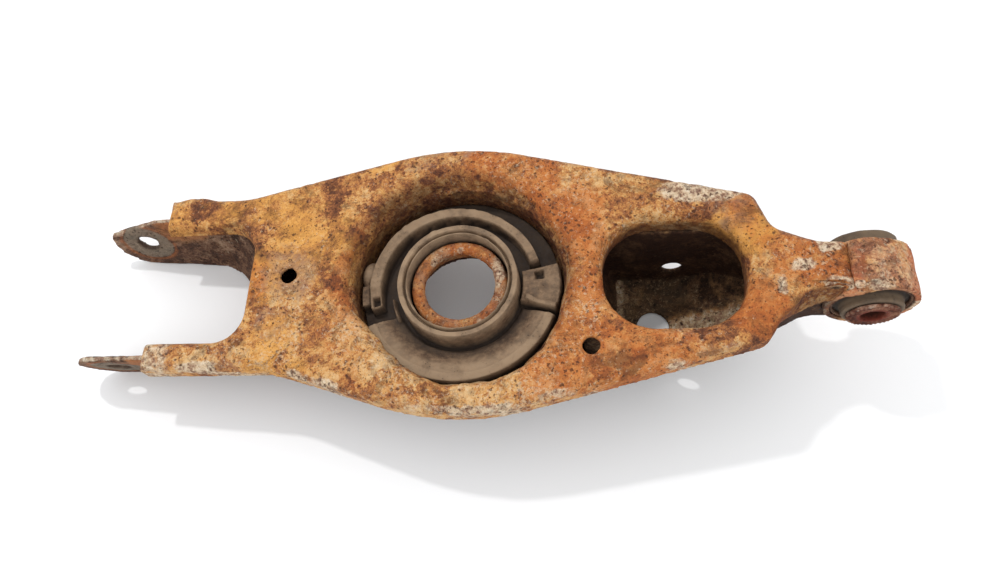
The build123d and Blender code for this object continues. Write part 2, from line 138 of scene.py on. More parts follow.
def pits(points, size, seed, share):
    """Round hollows from 0 to 1, in a share of the cells of a grid of that size."""
    q = points / size + CELL_SHIFT
    base = np.floor(q).astype(np.int64)
    deepest = np.zeros(len(points))
    for i in (-1, 0, 1):
        for j in (-1, 0, 1):
            for k in (-1, 0, 1):
                cell = base + np.array([i, j, k])
                centre = np.column_stack([hashed(cell, seed + n) for n in (1, 2, 3)]) + cell
                radius = 0.25 + 0.35 * hashed(cell, seed + 4)
                reach = np.linalg.norm(q - centre, axis=1) / radius
                hollow = np.clip(1 - reach * reach, 0, 1)
                hollow[hashed(cell, seed + 5) > share] = 0
                deepest = np.maximum(deepest, hollow)
    return deepest


def smoothstep(low, high, value):
    """0 before low, 1 past high and an even ease between them. low may be the larger."""
    t = np.clip((value - low) / (high - low), 0, 1)
    return t * t * (3 - 2 * t)


def show(mesh, nodes, body, material):
    """Piece that stands in for some CAD nodes and rides on their body."""
    mesh.materials.append(material)
    obj = bpy.data.objects.new(nodes[0] + "_look", mesh)
    scene.collection.objects.link(obj)
    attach(obj, body)
    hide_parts(*nodes)


def remeshed(nodes, voxel):
    """One skin around some CAD nodes, as even quads of about the voxel's size in mm."""
    both = bmesh.new()
    for node in nodes:
        both.from_mesh(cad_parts[node].data)
    mesh = bpy.data.meshes.new("temp")
    both.to_mesh(mesh)
    both.free()
    temp = bpy.data.objects.new("temp", mesh)
    scene.collection.objects.link(temp)
    mod = temp.modifiers.new("remesh", "REMESH")
    mod.mode = "VOXEL"
    mod.voxel_size = voxel * MM
    mod.use_smooth_shade = True
    depsgraph = bpy.context.evaluated_depsgraph_get()
    result = bpy.data.meshes.new_from_object(temp.evaluated_get(depsgraph))
    bpy.data.objects.remove(temp)
    result.name = nodes[0] + "_look"
    result.materials.clear()
    return result


def coords(mesh):
    """Places of the vertices, in row-frame metres."""
    data = np.empty(len(mesh.vertices) * 3)
    mesh.vertices.foreach_get("co", data)
    return data.reshape(-1, 3)


def normals(mesh):
    data = np.empty(len(mesh.vertices) * 3)
    mesh.vertex_normals.foreach_get("vector", data)
    return data.reshape(-1, 3)


def edge_ends(mesh):
    data = np.empty(len(mesh.edges) * 2, dtype=np.int64)
    mesh.edges.foreach_get("vertices", data)
    return data.reshape(-1, 2)


def spread(mesh, values, rounds):
    """Values evened out over the surface, once per round."""
    ends = edge_ends(mesh)
    count = np.bincount(ends.ravel(), minlength=len(values)).astype(float)
    values = values.astype(float)
    for _ in range(rounds):
        flat = values.reshape(len(values), -1)
        total = np.zeros_like(flat)
        for column in range(flat.shape[1]):
            total[:, column] = np.bincount(ends[:, 0], flat[ends[:, 1], column], len(values))
            total[:, column] += np.bincount(ends[:, 1], flat[ends[:, 0], column], len(values))
        mean = total / np.maximum(count, 1)[:, None]
        values = (0.4 * flat + 0.6 * mean).reshape(values.shape)
    return values


def put(mesh, points):
    """Sets the vertices, kept inside the CAD model's box."""
    low, high = np.array(cad_low), np.array(cad_high)
    mesh.vertices.foreach_set("co", np.clip(points, low, high).ravel())
    mesh.update()


def swell(mesh, height):
    """Moves each vertex along its normal by a height in mm."""
    put(mesh, coords(mesh) + normals(mesh) * (height * MM)[:, None])


def attribute(mesh, name, values):
    """Layer that the materials read: one number, or one for each vertex, held from 0 to 1."""
    values = np.broadcast_to(np.clip(values, 0, 1), len(mesh.vertices))
    layer = mesh.attributes.new(name, "FLOAT", "POINT")
    layer.data.foreach_set("value", values.astype(np.float32))


# ---------------------------------------------------------------- shader helpers

def linear(r, g, b):
    """Linear colour from 0-255 screen values."""
    out = []
    for v in (r, g, b):
        v /= 255.0
        out.append(v / 12.92 if v <= 0.04045 else ((v + 0.055) / 1.055) ** 2.4)
    return (*out, 1.0)


class Shader:
    """Small builder for a node material with object-space textures."""

    def __init__(self, name):
        self.material = bpy.data.materials.new(name)
        self.material.use_nodes = True
        self.tree = self.material.node_tree
        self.out = self.tree.nodes["Principled BSDF"]
        self.place = self.tree.nodes.new("ShaderNodeTexCoord").outputs["Object"]

    def put(self, socket, value):
        """Links a value that is a socket, and sets one that is a number or a colour."""
        if hasattr(value, "is_linked"):
            self.tree.links.new(value, socket)
        else:
            socket.default_value = value

    def moved(self, shift):
        """Places moved by a fixed shift, so that each texture shows its own part of the noise."""
        node = self.tree.nodes.new("ShaderNodeMapping")
        self.tree.links.new(self.place, node.inputs["Vector"])
        node.inputs["Location"].default_value = shift
        return node.outputs["Vector"]

    def noise(self, scale, detail=4.0, rough=0.6, twist=0.0, seed=0.0):
        node = self.tree.nodes.new("ShaderNodeTexNoise")
        self.tree.links.new(self.moved((seed, seed * 0.7, -seed)), node.inputs["Vector"])
        node.inputs["Scale"].default_value = scale
        node.inputs["Detail"].default_value = detail
        node.inputs["Roughness"].default_value = rough
        node.inputs["Distortion"].default_value = twist
        return node.outputs["Fac"]

    def cells(self, scale, feature="F1", seed=0.0):
        """Distance to the nearest point or edge of an irregular pattern of cells."""
        node = self.tree.nodes.new("ShaderNodeTexVoronoi")
        node.feature = feature
        self.tree.links.new(self.stirred(scale * 1.6, 0.9 / scale, seed), node.inputs["Vector"])
        node.inputs["Scale"].default_value = scale
        return node.outputs["Distance"]

    def stirred(self, scale, wander, seed):
        """Places moved about by noise, by up to the wander in metres."""
        drift = self.tree.nodes.new("ShaderNodeTexNoise")
        self.tree.links.new(self.moved((seed, seed, seed)), drift.inputs["Vector"])
        drift.inputs["Scale"].default_value = scale
        drift.inputs["Detail"].default_value = 3.0
        stir = self.tree.nodes.new("ShaderNodeVectorMath")
        stir.operation = "MULTIPLY_ADD"
        self.tree.links.new(drift.outputs["Color"], stir.inputs[0])
        stir.inputs[1].default_value = (wander, wander, wander)
        self.tree.links.new(self.moved((-seed, seed, seed * 0.5)), stir.inputs[2])
        return stir.outputs["Vector"]

    def flakes(self, scale, wander, seed=0.0):
        """A value from 0 to 1 that stays the same over each flake of an irregular pattern."""
        node = self.tree.nodes.new("ShaderNodeTexVoronoi")
        node.feature = "SMOOTH_F1"
        node.inputs["Smoothness"].default_value = 0.25
        self.tree.links.new(self.stirred(scale * 2.5, wander, seed), node.inputs["Vector"])
        node.inputs["Scale"].default_value = scale
        split = self.tree.nodes.new("ShaderNodeSeparateColor")
        self.tree.links.new(node.outputs["Color"], split.inputs["Color"])
        return split.outputs["Red"]

    def math(self, kind, a, b):
        node = self.tree.nodes.new("ShaderNodeMath")
        node.operation = kind
        self.put(node.inputs[0], a)
        self.put(node.inputs[1], b)
        return node.outputs[0]

    def total(self, *parts):
        """Sum of (value, weight) pairs."""
        result = None
        for value, weight in parts:
            term = value if weight == 1 else self.math("MULTIPLY", value, weight)
            result = term if result is None else self.math("ADD", result, term)
        return result

    def between(self, value, low, high, out_low=0.0, out_high=1.0):
        """Value taken from one range to another, held at its ends."""
        node = self.tree.nodes.new("ShaderNodeMapRange")
        node.interpolation_type = "SMOOTHSTEP"
        self.put(node.inputs["Value"], value)
        node.inputs["From Min"].default_value = low
        node.inputs["From Max"].default_value = high
        node.inputs["To Min"].default_value = out_low
        node.inputs["To Max"].default_value = out_high
        return node.outputs["Result"]

    def ramp(self, value, stops):
        """Colour read off a run of (place, colour) stops."""
        node = self.tree.nodes.new("ShaderNodeValToRGB")
        elements = node.color_ramp.elements
        while len(elements) > 1:
            elements.remove(elements[-1])
        elements[0].position = stops[0][0]
        elements[0].color = linear(*stops[0][1])
        for place, colour in stops[1:]:
            elements.new(place).color = linear(*colour)
        self.put(node.inputs["Fac"], value)
        return node.outputs["Color"]

    def coat(self, colour, share, strength, tint):
        """Tint laid over a colour, by a share times a strength."""
        node = self.tree.nodes.new("ShaderNodeMix")
        node.data_type = "RGBA"
        # inputs 6 and 7 and output 2 are the node's colour sockets
        self.put(node.inputs["Factor"], self.math("MULTIPLY", share, strength))
        self.put(node.inputs[6], colour)
        self.put(node.inputs[7], linear(*tint) if isinstance(tint, tuple) else tint)
        return node.outputs[2]

    def layer(self, name):
        """Value of one of the mesh's own layers."""
        node = self.tree.nodes.new("ShaderNodeAttribute")
        node.attribute_name = name
        return node.outputs["Fac"]

    def finish(self, colour, rough, height=None, depth=0.3, specular=0.3):
        """Material of that colour and roughness, with bumps of that depth in mm."""
        self.put(self.out.inputs["Base Color"], colour)
        self.put(self.out.inputs["Roughness"], rough)
        self.out.inputs["Specular IOR Level"].default_value = specular
        if height is not None:
            bump = self.tree.nodes.new("ShaderNodeBump")
            bump.inputs["Strength"].default_value = 1.0
            bump.inputs["Distance"].default_value = depth * MM
            self.put(bump.inputs["Height"], height)
            self.tree.links.new(bump.outputs["Normal"], self.out.inputs["Normal"])
        return self.material


def rust(name, stops, dark=(70, 42, 30), pale=(206, 184, 154), seed=0.0, pit_share=0.8,
         orange=(180, 98, 44), yellow=(206, 152, 72), grey=(134, 108, 94), shade=(52, 30, 22)):
    """Rusted steel: mottled flakes of colour, dark pits, pale scale and painted shade.

    It reads the layers rim (pale scale), orange, yellow and grey (tints), shade (painted shade in
    recesses, under things and on faces turned from the lamp) and hollow (pits in the mesh).
    """
    s = Shader(name)
    wide = s.noise(20, 4, 0.6, 0.6, seed)
    middle = s.noise(75, 6, 0.68, 0.8, seed + 1)
    fine = s.noise(260, 6, 0.72, 0.3, seed + 2)
    grain = s.noise(1000, 3, 0.7, 0.0, seed + 3)
    flake = s.flakes(110, 0.012, seed + 0.4)
    value = s.total((wide, 0.18), (middle, 0.26), (fine, 0.28), (grain, 0.18), (flake, 0.10))
    colour = s.ramp(s.between(value, 0.375, 0.625), stops)
    # broad tints, each broken up at its edge
    for tint, layer, scale, shift in (
            (yellow, "yellow", 38, 4), (orange, "orange", 46, 14), (grey, "grey", 52, 24)):
        edge = s.noise(scale, 8, 0.78, 1.2, seed + shift)
        broken = s.total((s.layer(layer), 1), (edge, 2.0), (middle, 0.9))
        colour = s.coat(colour, s.between(broken, 1.75, 2.35), 0.62, tint)
    # dark stains where the rust is thick
    stain = s.total((s.noise(44, 9, 0.8, 1.4, seed + 34), 1), (middle, 0.35))
    colour = s.coat(colour, s.between(stain, 0.68, 0.82), 0.6, dark)
    # pale scale, broken by cracks
    cover = s.total((s.layer("rim"), 0.95), (s.noise(130, 7, 0.75, 0.8, seed + 5), 1))
    cover = s.between(cover, 0.92, 1.12)
    tone = s.ramp(s.noise(300, 5, 0.7, 0.0, seed + 6), [
        (0.30, (84, 60, 52)), (0.42, (142, 112, 94)), (0.53, pale), (0.70, (224, 212, 192))])
    colour = s.coat(colour, cover, 0.85, tone)
    cracks = s.total((s.cells(120, "DISTANCE_TO_EDGE", seed + 7), 1), (fine, 0.16))
    cracks = s.between(cracks, 0.09, 0.135, 1.0, 0.0)
    broken_line = s.between(s.noise(90, 4, 0.6, 0.5, seed + 17), 0.50, 0.58)
    cracks = s.math("MULTIPLY", s.math("MULTIPLY", cracks, broken_line), cover)
    colour = s.coat(colour, cracks, 0.6, dark)
    # clusters of pits, then fine specks everywhere
    spots = s.total((s.cells(300, "F1", seed + 8), 1), (middle, 0.9))
    spots = s.between(spots, 0.56, 0.72, 1.0, 0.0)
    colour = s.coat(colour, spots, pit_share, dark)
    specks = s.total((s.cells(820, "F1", seed + 9), 1), (fine, 0.75))
    specks = s.between(specks, 0.52, 0.66, 1.0, 0.0)
    colour = s.coat(colour, specks, pit_share * 0.8, dark)
    light = s.total((s.noise(480, 5, 0.75, 0.4, seed + 10), 1), (wide, 0.5))
    colour = s.coat(colour, s.between(light, 0.82, 0.92), 0.5, pale)
    # dirt in the pits, and painted shade from the shade layer in recesses, under things and on faces turned
    # from the lamp
    colour = s.coat(colour, s.layer("hollow"), 0.75, dark)
    colour = s.coat(colour, s.layer("shade"), s.between(fine, 0.3, 0.68, 1.0, 0.72), shade)
    rough = s.between(fine, 0.3, 0.7, 0.76, 0.97)
    height = s.total((fine, 1.3), (grain, 0.45), (flake, 0.12), (spots, -0.55), (specks, -0.3),
                     (cracks, -0.7))
    return s.finish(colour, rough, height, 0.5, 0.2)


def rubber(name, stops, dust=(150, 126, 100), seed=0.0, dark=(40, 31, 26)):
    """Old rubber: dull, with fine wear, small nicks, and the layers dust and shade."""
    s = Shader(name)
    middle = s.noise(80, 5, 0.6, 0.5, seed)
    fine = s.noise(420, 5, 0.65, 0.0, seed + 1)
    grain = s.noise(1500, 2, 0.6, 0.0, seed + 2)
    colour = s.ramp(s.between(s.total((middle, 0.5), (fine, 0.5)), 0.34, 0.66), stops)
    colour = s.coat(colour, s.layer("dust"), s.between(middle, 0.3, 0.62, 0.55, 1.0), dust)
    nicks = s.total((s.cells(520, "F1", seed + 3), 1), (middle, 0.55))
    nicks = s.between(nicks, 0.36, 0.46, 1.0, 0.0)
    colour = s.coat(colour, nicks, 0.5, dark)
    # painted shade from the shade layer
    colour = s.coat(colour, s.layer("shade"), 0.9, dark)
    rough = s.between(fine, 0.3, 0.7, 0.7, 0.92)
    height = s.total((fine, 0.6), (grain, 0.3), (nicks, -0.4))
    return s.finish(colour, rough, height, 0.25, 0.35)


# ---------------------------------------------------------------- materials

PAN = rust("pan_rust", [
    (0.0, (84, 50, 35)), (0.25, (136, 84, 52)), (0.46, (172, 114, 64)), (0.68, (194, 142, 84)),
    (1.0, (208, 172, 124))], seed=1.0, shade=(62, 30, 19), yellow=(214, 154, 74))
CHANNEL = rust("channel_rust", [
    (0.0, (60, 40, 31)), (0.35, (92, 64, 48)), (0.6, (120, 88, 68)), (0.85, (142, 112, 90)),
    (1.0, (166, 136, 110))], dark=(40, 27, 21), pale=(172, 152, 128), seed=11.0,
    orange=(158, 94, 56), yellow=(186, 134, 86), grey=(132, 122, 106))
BRACKET = rust("bracket_rust", [
    (0.0, (44, 30, 21)), (0.4, (70, 48, 34)), (0.7, (100, 72, 50)), (1.0, (136, 102, 72))],
    dark=(34, 24, 17), pale=(186, 158, 122), seed=21.0, orange=(178, 116, 68), yellow=(176, 134, 86),
    grey=(86, 72, 56))
EYE = rust("eye_rust", [
    (0.0, (98, 60, 44)), (0.3, (142, 92, 66)), (0.55, (176, 122, 86)), (0.8, (198, 150, 108)),
    (1.0, (212, 176, 134))], seed=31.0, orange=(178, 92, 54))
SLEEVE = rust("sleeve_rust", [
    (0.0, (60, 38, 30)), (0.5, (92, 62, 46)), (1.0, (130, 96, 72))], dark=(36, 24, 20), seed=41.0)
INNER = rust("inner_sleeve_rust", [
    (0.0, (64, 32, 24)), (0.4, (98, 56, 42)), (0.75, (126, 84, 64)), (1.0, (160, 120, 96))],
    dark=(44, 20, 16), seed=51.0, pale=(160, 124, 102), orange=(110, 42, 28), pit_share=0.5)
WELD = rust("weld_rust", [
    (0.0, (100, 64, 46)), (0.4, (148, 98, 66)), (0.7, (178, 126, 86)), (1.0, (204, 164, 122))],
    seed=61.0)
PAD = rubber("pad_rubber", [(0.0, (66, 50, 38)), (0.5, (100, 78, 60)), (1.0, (136, 110, 86))], seed=5.0)
BUSH = rubber("bush_rubber_dark", [(0.0, (52, 42, 36)), (0.5, (78, 63, 51)), (1.0, (108, 89, 70))],
              dust=(112, 94, 74), seed=15.0)


# ---------------------------------------------------------------- pressed steel pieces

PAD_INNER, PAD_OUTER, PAD_FOOT, PAD_FLOOR = 30.0, 60.5, -7.5, -2.5
LAYERS = ("rim", "orange", "yellow", "grey", "shade", "hollow")


def steel_look(nodes, body, material, voxel, relief, seed, layers, warp=None):
    """Rusted skin of some CAD nodes: an even mesh, warped, roughened, with its layers.

    voxel is the mesh's size and relief the roughness, both in mm. layers gives the materials'
    layers, and also scaly (extra roughness) and swell (a raised bead, in mm).
    """
    mesh = remeshed(nodes, voxel)
    points = to_arm(coords(mesh))
    if warp is not None:
        points = warp(points)
        put(mesh, to_row(points))
    masks = layers(mesh, points, to_arm_turn(normals(mesh)))
    rough = relief * (0.55 + 0.9 * masks.get("scaly", 0))
    height = rough * 0.55 * fractal(points, 9.0, seed, 4)
    height += masks.get("swell", 0)
    hollow = pits(points, 5.0, seed + 20, 0.30)
    hollow = np.maximum(hollow, 0.7 * pits(points, 3.0, seed + 30, 0.25))
    height -= rough * 1.3 * hollow
    masks["hollow"] = hollow * 0.6
    swell(mesh, height)
    for name in LAYERS:
        attribute(mesh, name, masks.get(name, 0))
    show(mesh, nodes, body, material)


def from_box(x, y, half_x, half_y, corner):
    """Distance outside a rounded rectangle about the origin, less than 0 inside it."""
    past_x, past_y = np.abs(x) - half_x + corner, np.abs(y) - half_y + corner
    outside = np.hypot(np.maximum(past_x, 0), np.maximum(past_y, 0))
    return outside + np.minimum(np.maximum(past_x, past_y), 0) - corner


def from_window(points):
    return from_box(points[:, 0] - WINDOW_X, points[:, 1], WINDOW_HALF_X, WINDOW_HALF_Y, WINDOW_CORNER)


def from_notch(points):
    """Distance outside the gap between the fork's legs."""
    past_x = points[:, 0] - NOTCH_ROOT_X + NOTCH_CORNER
    past_y = np.abs(points[:, 1]) - NOTCH_HALF + NOTCH_CORNER
    outside = np.hypot(np.maximum(past_x, 0), np.maximum(past_y, 0))
    return outside + np.minimum(np.maximum(past_x, past_y), 0) - NOTCH_CORNER


def from_spot(points, spot, stretch=(1, 1)):
    """Distance in plan from a spot on the arm, stretched along x and y."""
    return np.hypot((points[:, 0] - spot[0]) * stretch[0], (points[:, 1] - spot[1]) * stretch[1])


def from_cup(points):
    """Distance from the cup's axis, and the turn about it in degrees from -180 to 180."""
    x, y = points[:, 0] - CUP_X, points[:, 1] - CUP_Y
    return np.hypot(x, y), np.degrees(np.arctan2(y, x))


def bump(turn, middle, width):
    """1 at an angle, easing to 0 at that many degrees from it."""
    away = np.abs((turn - middle + 180) % 360 - 180)
    return smoothstep(width, 0, away)


def rolled(distance, radius):
    """How far a rolled edge has dropped at a distance from the opening."""
    inward = np.clip(radius - np.maximum(distance, 0), 0, radius)
    return radius - np.sqrt(radius * radius - inward * inward)


def cup_lip(points, turn):
    """Radius of the cup's lip, which wanders and is cut back in places."""
    lip = 63.7 + 3.6 * bump(turn, -48, 55) + 2.2 * bump(turn, 7, 18) - 5.4 * bump(turn, -136, 42)
    lip -= 1.8 * bump(turn, 150, 30)
    lip += 1.0 * value_noise(points, 7.0, 61) + 1.4 * value_noise(points, 18.0, 62)
    return lip


def pan_warp(points):
    """Rolled edges at the window, the notch and the cup, and the pan's uneven places."""
    x, y, z = points.T.copy()
    drop = rolled(from_window(points), 8.0) * smoothstep(6.5, 21.5, z)
    drop += rolled(from_notch(points), 5.0) * smoothstep(15.5, 21.5, z) * (x < -330)
    # cup: an uneven lip, and a far wall that slopes in a little
    radius, turn = from_cup(points)
    far = bump(turn, 80, 80)
    weight = smoothstep(-2, 18, z) * smoothstep(86, 68, radius) * smoothstep(50, 58, radius)
    shift = (cup_lip(points, turn) - CUP_LIP) * weight
    slope = 4.0 * far * smoothstep(20, 4, z) * smoothstep(-7, 4, z) * (radius > 58)
    moved = radius + shift - slope * (0.6 + 0.4 * value_noise(points, 9.0, 63))
    clear_of_pad = (z < 17) & (radius > 58)
    moved = np.where(clear_of_pad, np.maximum(moved, PAD_OUTER + 0.4), moved)
    scale = np.where(radius > 1, moved / np.maximum(radius, 1), 1)
    x = CUP_X + (x - CUP_X) * scale
    y = CUP_Y + (y - CUP_Y) * scale
    drop += 0.45 * rolled(radius - 66.0, 5.0 + 6.0 * far) * smoothstep(12, 21, z) * (radius > 60)
    # raised ring in the cup, rounded towards its hole
    rounded = 1.6 * np.clip((25.2 - radius) / 4.1, 0, 1) ** 2 * smoothstep(3, 8, z)
    drop += np.where(radius < 30, rounded, 0)
    z = z - drop
    # near shoulder between the window and the neck, pushed out to a fuller corner
    shoulder_x, shoulder_y = x + 56, y + 35
    push = smoothstep(15, 3, np.hypot(shoulder_x, shoulder_y)) * smoothstep(-6, 4, shoulder_x - shoulder_y)
    x, y = x + 3.4 * push, y - 3.0 * push
    # neck, drawn in at the top, and the tongue rolled down onto the eye's bead
    neck = smoothstep(-50, -40, x) * smoothstep(-12, -24, x) * smoothstep(-9, -14, y)
    y = y + 4.2 * neck * smoothstep(9, 20, z)
    tongue = smoothstep(-20, -14, x) * (np.abs(y) < 20)
    x, z = x + 2.2 * tongue, z - 1.5 * tongue * smoothstep(12, 20, z)
    # lump of rust on the far leg's end
    leg_lump = smoothstep(15, 3, np.hypot(x + 400, y - 55)) * smoothstep(12, 22, z)
    return np.column_stack((x, y + 2.2 * leg_lump, z))


def pan_rim(mesh, points, turned, window):
    """Pale scale along the turned edges and in patches on the neck, far shoulder and near leg."""
    x, y = points[:, 0], points[:, 1]
    rim = 0.5 * spread(mesh, turned, 6) + 1.3 * spread(mesh, turned, 60)
    near = smoothstep(-10, -30, y)
    strength = 0.85 * near * (1 - smoothstep(-75, -55, x))
    strength = np.maximum(strength, 0.5 * smoothstep(20, 40, y))
    strength = np.maximum(strength, 0.35 * smoothstep(-50, -35, x))
    strength *= 0.72 + 0.6 * value_noise(points, 34, 7)
    rim = np.clip(rim * 1.6, 0, 1) * strength * (0.75 + 0.5 * value_noise(points, 11, 9))
    neck = 0.8 * smoothstep(-66, -50, x) * smoothstep(-0.1, 0.5, value_noise(points, 13, 8))
    far_shoulder = 0.8 * smoothstep(24, 8, from_spot(points, (-90, 50), (0.6, 1.6)))
    near_leg = 0.6 * smoothstep(-385, -400, x) * (y < 0)
    patches = np.maximum(np.maximum(neck, far_shoulder), near_leg)
    return np.maximum(rim, patches * (window > 7))


def pan_tints(mesh, points, turned):
    """Yellow, orange and grey tints of the pan outside its cup."""
    x, y, z = points.T
    radius, turn = from_cup(points)
    yellow = smoothstep(-240, -300, x) * smoothstep(-60, 10, y) * (0.6 + 0.5 * value_noise(points, 30, 17))
    round_notch = bump(np.degrees(np.arctan2(y + 12, x + 335)), -90, 70) * (x < -300)
    yellow = np.maximum(yellow, 0.75 * round_notch)
    yellow = np.maximum(yellow, 0.9 * smoothstep(22, 8, from_spot(points, (-70, 22), (0.7, 1))))
    round_cup = bump(turn, 50, 75) * smoothstep(80, 70, radius) * (z > 14)
    orange = 0.75 * smoothstep(0.0, 0.5, value_noise(points, 36, 18))
    orange = np.maximum(orange, 1.3 * smoothstep(26, 8, from_spot(points, (-66, -22))))
    orange = np.maximum(orange, 0.95 * smoothstep(34, 10, from_spot(points, (-162, 30), (1, 0.7))))
    orange = np.maximum(orange, 0.9 * round_cup)
    round_hole = 0.65 * smoothstep(30, 10, from_spot(points, HOLE_FORK_END))
    grey = np.maximum(round_hole, 0.5 * smoothstep(0.2, 0.7, value_noise(points, 26, 19)))
    grey = np.maximum(grey, 1.2 * spread(mesh, turned * (y > 15), 40))
    return yellow, orange, grey


def pan_layers(mesh, points, face):
    """All layers of the pan and its cup."""
    x, y, z = points.T
    radius, turn = from_cup(points)
    window, notch = from_window(points), from_notch(points)
    small = np.minimum(from_spot(points, HOLE_FORK_END), from_spot(points, HOLE_EYE_END))
    plate = (radius > 74) & (window > 9) & (small > 8)
    turned = (1 - smoothstep(0.5, 0.97, face[:, 2])) * (z > 10) * plate * (notch > 9)
    rim = pan_rim(mesh, points, turned, window)
    yellow, orange, grey = pan_tints(mesh, points, turned)
    # painted shade down the cup's wall and round its lip, broken by flecks of bare rust
    inside = (radius < 71) & (z < 20) & (radius > 40)
    depth = smoothstep(22, 12, z)
    painted_lip_shade = 0.8 * smoothstep(74, 66, radius) * np.maximum(bump(turn, 120, 100), 0.7 * bump(turn, 0, 60))
    shade = np.where((radius < 76) & (radius > 40), np.maximum(0.9 * depth, painted_lip_shade), 0.0)
    shade = spread(mesh, shade, 3)
    flecks = smoothstep(0.25, 0.6, value_noise(points, 6, 64)) * bump(turn, 70, 100)
    shade *= 1 - 0.75 * flecks * smoothstep(2, 14, z)
    # raised ring, with only a little painted shade on its upward faces
    ring = radius < RING_RADIUS
    shade = np.where(ring & (face[:, 2] > 0.2), 0.12, shade)
    orange = np.where(ring, 0.75, np.where(inside, 0.7 * flecks, orange))
    grey = np.where(ring, 0.5, np.where(radius < 74, 0.2, grey))
    rim = np.where(ring, 0.25 + 0.45 * value_noise(points, 8, 65), rim)
    # painted shade on the window's turned-down edge, the underside, and the near side of the neck
    edge = smoothstep(19.5, 13, z) * (window < 7)
    shade = np.maximum(shade, 0.85 * edge)
    shade = np.maximum(shade, 0.75 * (face[:, 2] < -0.5))
    side = (x > -60) & (x < -18) & (y < -8) & (face[:, 2] < 0.6)
    shade = np.maximum(shade, spread(mesh, 0.72 * side, 2))
    rim = rim * (1 - side)
    scaly = rim * 1.3 + 1.8 * inside * smoothstep(-5, 3, z) + 0.5 * (radius < 80) * (z > 12)
    scaly = np.clip(scaly, 0, 2.4)
    return {"rim": rim, "yellow": yellow, "orange": orange, "grey": grey, "shade": shade, "scaly": scaly}


def ear_warp(points):
    """Far ear's nose cut back along its upper edge, so that it comes to a leaf's point."""
    x, y, z = points.T.copy()
    base = 8
    cut_top = np.clip(7.8 + 0.39 * (x + 461.8), 8.0, 26.0)
    round_top = np.sqrt(np.maximum(EAR_RADIUS ** 2 - (x - EAR_X) ** 2, 0)) - EAR_DROP
    made_top = np.where(x > -446.0, 20.0 + 0.044 * (x + 446.0), round_top)
    share = np.clip((cut_top - base) / np.maximum(made_top - base, 0.5), 0, 1)
    lower = (y > 0) & (x < -414) & (z > base)
    z = np.where(lower, base + (z - base) * share, z)
    return np.column_stack((x, y, z))


def channel_layers(mesh, points, face):
    """Bare washer marks round the bolt holes, orange where the legs join, and painted shade under the pan,
    in the bolt holes and on the floor inside.
    """
    x, y, z = points.T
    from_hole = np.hypot(x - FORK_X, z)
    washer = smoothstep(17, 14.5, from_hole)
    worn = 0.35 * smoothstep(-0.2, 0.6, value_noise(points, 25, 27))
    rim = np.maximum(worn, 0.8 * spread(mesh, (face[:, 2] > 0.5) * (x < -400) * 1.0, 3))
    orange = 0.8 * smoothstep(0.0, 0.5, value_noise(points, 30, 37))
    orange = np.maximum(orange, 0.9 * bump(from_hole, 16.5, 4))
    ragged = 9.0 * value_noise(points, 16.0, 28) + 4.0 * value_noise(points, 6.0, 29)
    joint = smoothstep(-436, -420, x) * smoothstep(-8, 10, z) * smoothstep(-389, -401, x + ragged)
    orange = np.maximum(orange, 0.95 * joint)
    # painted shade: on the channel under the pan, in the bolt holes and on the floor inside
    shade = smoothstep(-382, -362, x + ragged) * (0.4 + 0.2 * smoothstep(-31, -17, z + ragged))
    shade = np.maximum(shade, 0.8 * smoothstep(8.5, 6.5, from_hole) * (np.abs(y) < 60))
    shade = np.maximum(shade, 0.92 * (face[:, 2] > 0.4) * (z < -15) * (x > -350))
    return {"rim": rim * (1 - 0.5 * washer), "orange": orange * (1 - washer), "yellow": joint,
            "grey": washer, "shade": shade, "scaly": 0.4 + 0.3 * (x < -400)}


def bracket_warp(points):
    """Near side of the bracket leaning in towards its foot."""
    x, y, z = points.T.copy()
    lean = smoothstep(-26, -60, z) * smoothstep(-5, -30, y)
    return np.column_stack((x, y + 6.5 * lean, z))


def bracket_layers(mesh, points, face):
    """Dusty floor with a painted pool of lamplight on the near side towards the eye, between walls in
    painted shade.
    """
    x, y, z = points.T
    up = smoothstep(0.3, 0.8, face[:, 2])
    # inner walls get painted shade, with less of it low down
    inner_wall = (np.abs(y) < 34) & (z < 14) & (up < 0.5)
    low = smoothstep(-46, -62, z)
    # painted pool of lamplight on the floor's near side towards the eye
    painted_lamp_pool = smoothstep(-116, -98, x) * smoothstep(12, -6, y)
    dusty = smoothstep(-128, -136, x) * up
    return {"rim": up * (0.2 + 0.75 * painted_lamp_pool + 0.5 * dusty), "orange": up * painted_lamp_pool * 1.2,
            "yellow": up * (0.3 + painted_lamp_pool), "grey": 0.6 * low * (1 - painted_lamp_pool),
            "shade": inner_wall * (0.72 - 0.4 * low), "scaly": 0.5 + 0.6 * up}


def eye_layers(mesh, points, face):
    """Pale scale on the ring's ends, redder rust on the outer side and a raised bead on top."""
    x, y, z = points.T
    reach = np.hypot(x, z)
    ends = smoothstep(11, 14.5, np.abs(y))
    rim = 0.6 * ends * smoothstep(-0.2, 0.5, value_noise(points, 14, 47))
    rim = np.maximum(rim, 0.6 * smoothstep(0.15, 0.6, value_noise(points, 13, 48)))
    red = np.maximum(smoothstep(10, 20, x), 0.6 * smoothstep(0.0, 0.5, value_noise(points, 12, 49)))
    # painted shade in the ring's bore and low on its side towards the neck
    shade = smoothstep(23, 21.5, reach) * 0.85
    shade = np.maximum(shade, 0.8 * smoothstep(-8, -16, x) * smoothstep(14, 6, z))
    bead = smoothstep(2, -8, x) * smoothstep(12, 18, z)
    raised = bead * (1.1 + 0.6 * value_noise(points, 5.0, 50))
    return {"rim": rim, "orange": red, "yellow": 0.4, "grey": 0.35, "shade": shade, "scaly": 0.9,
            "swell": raised}


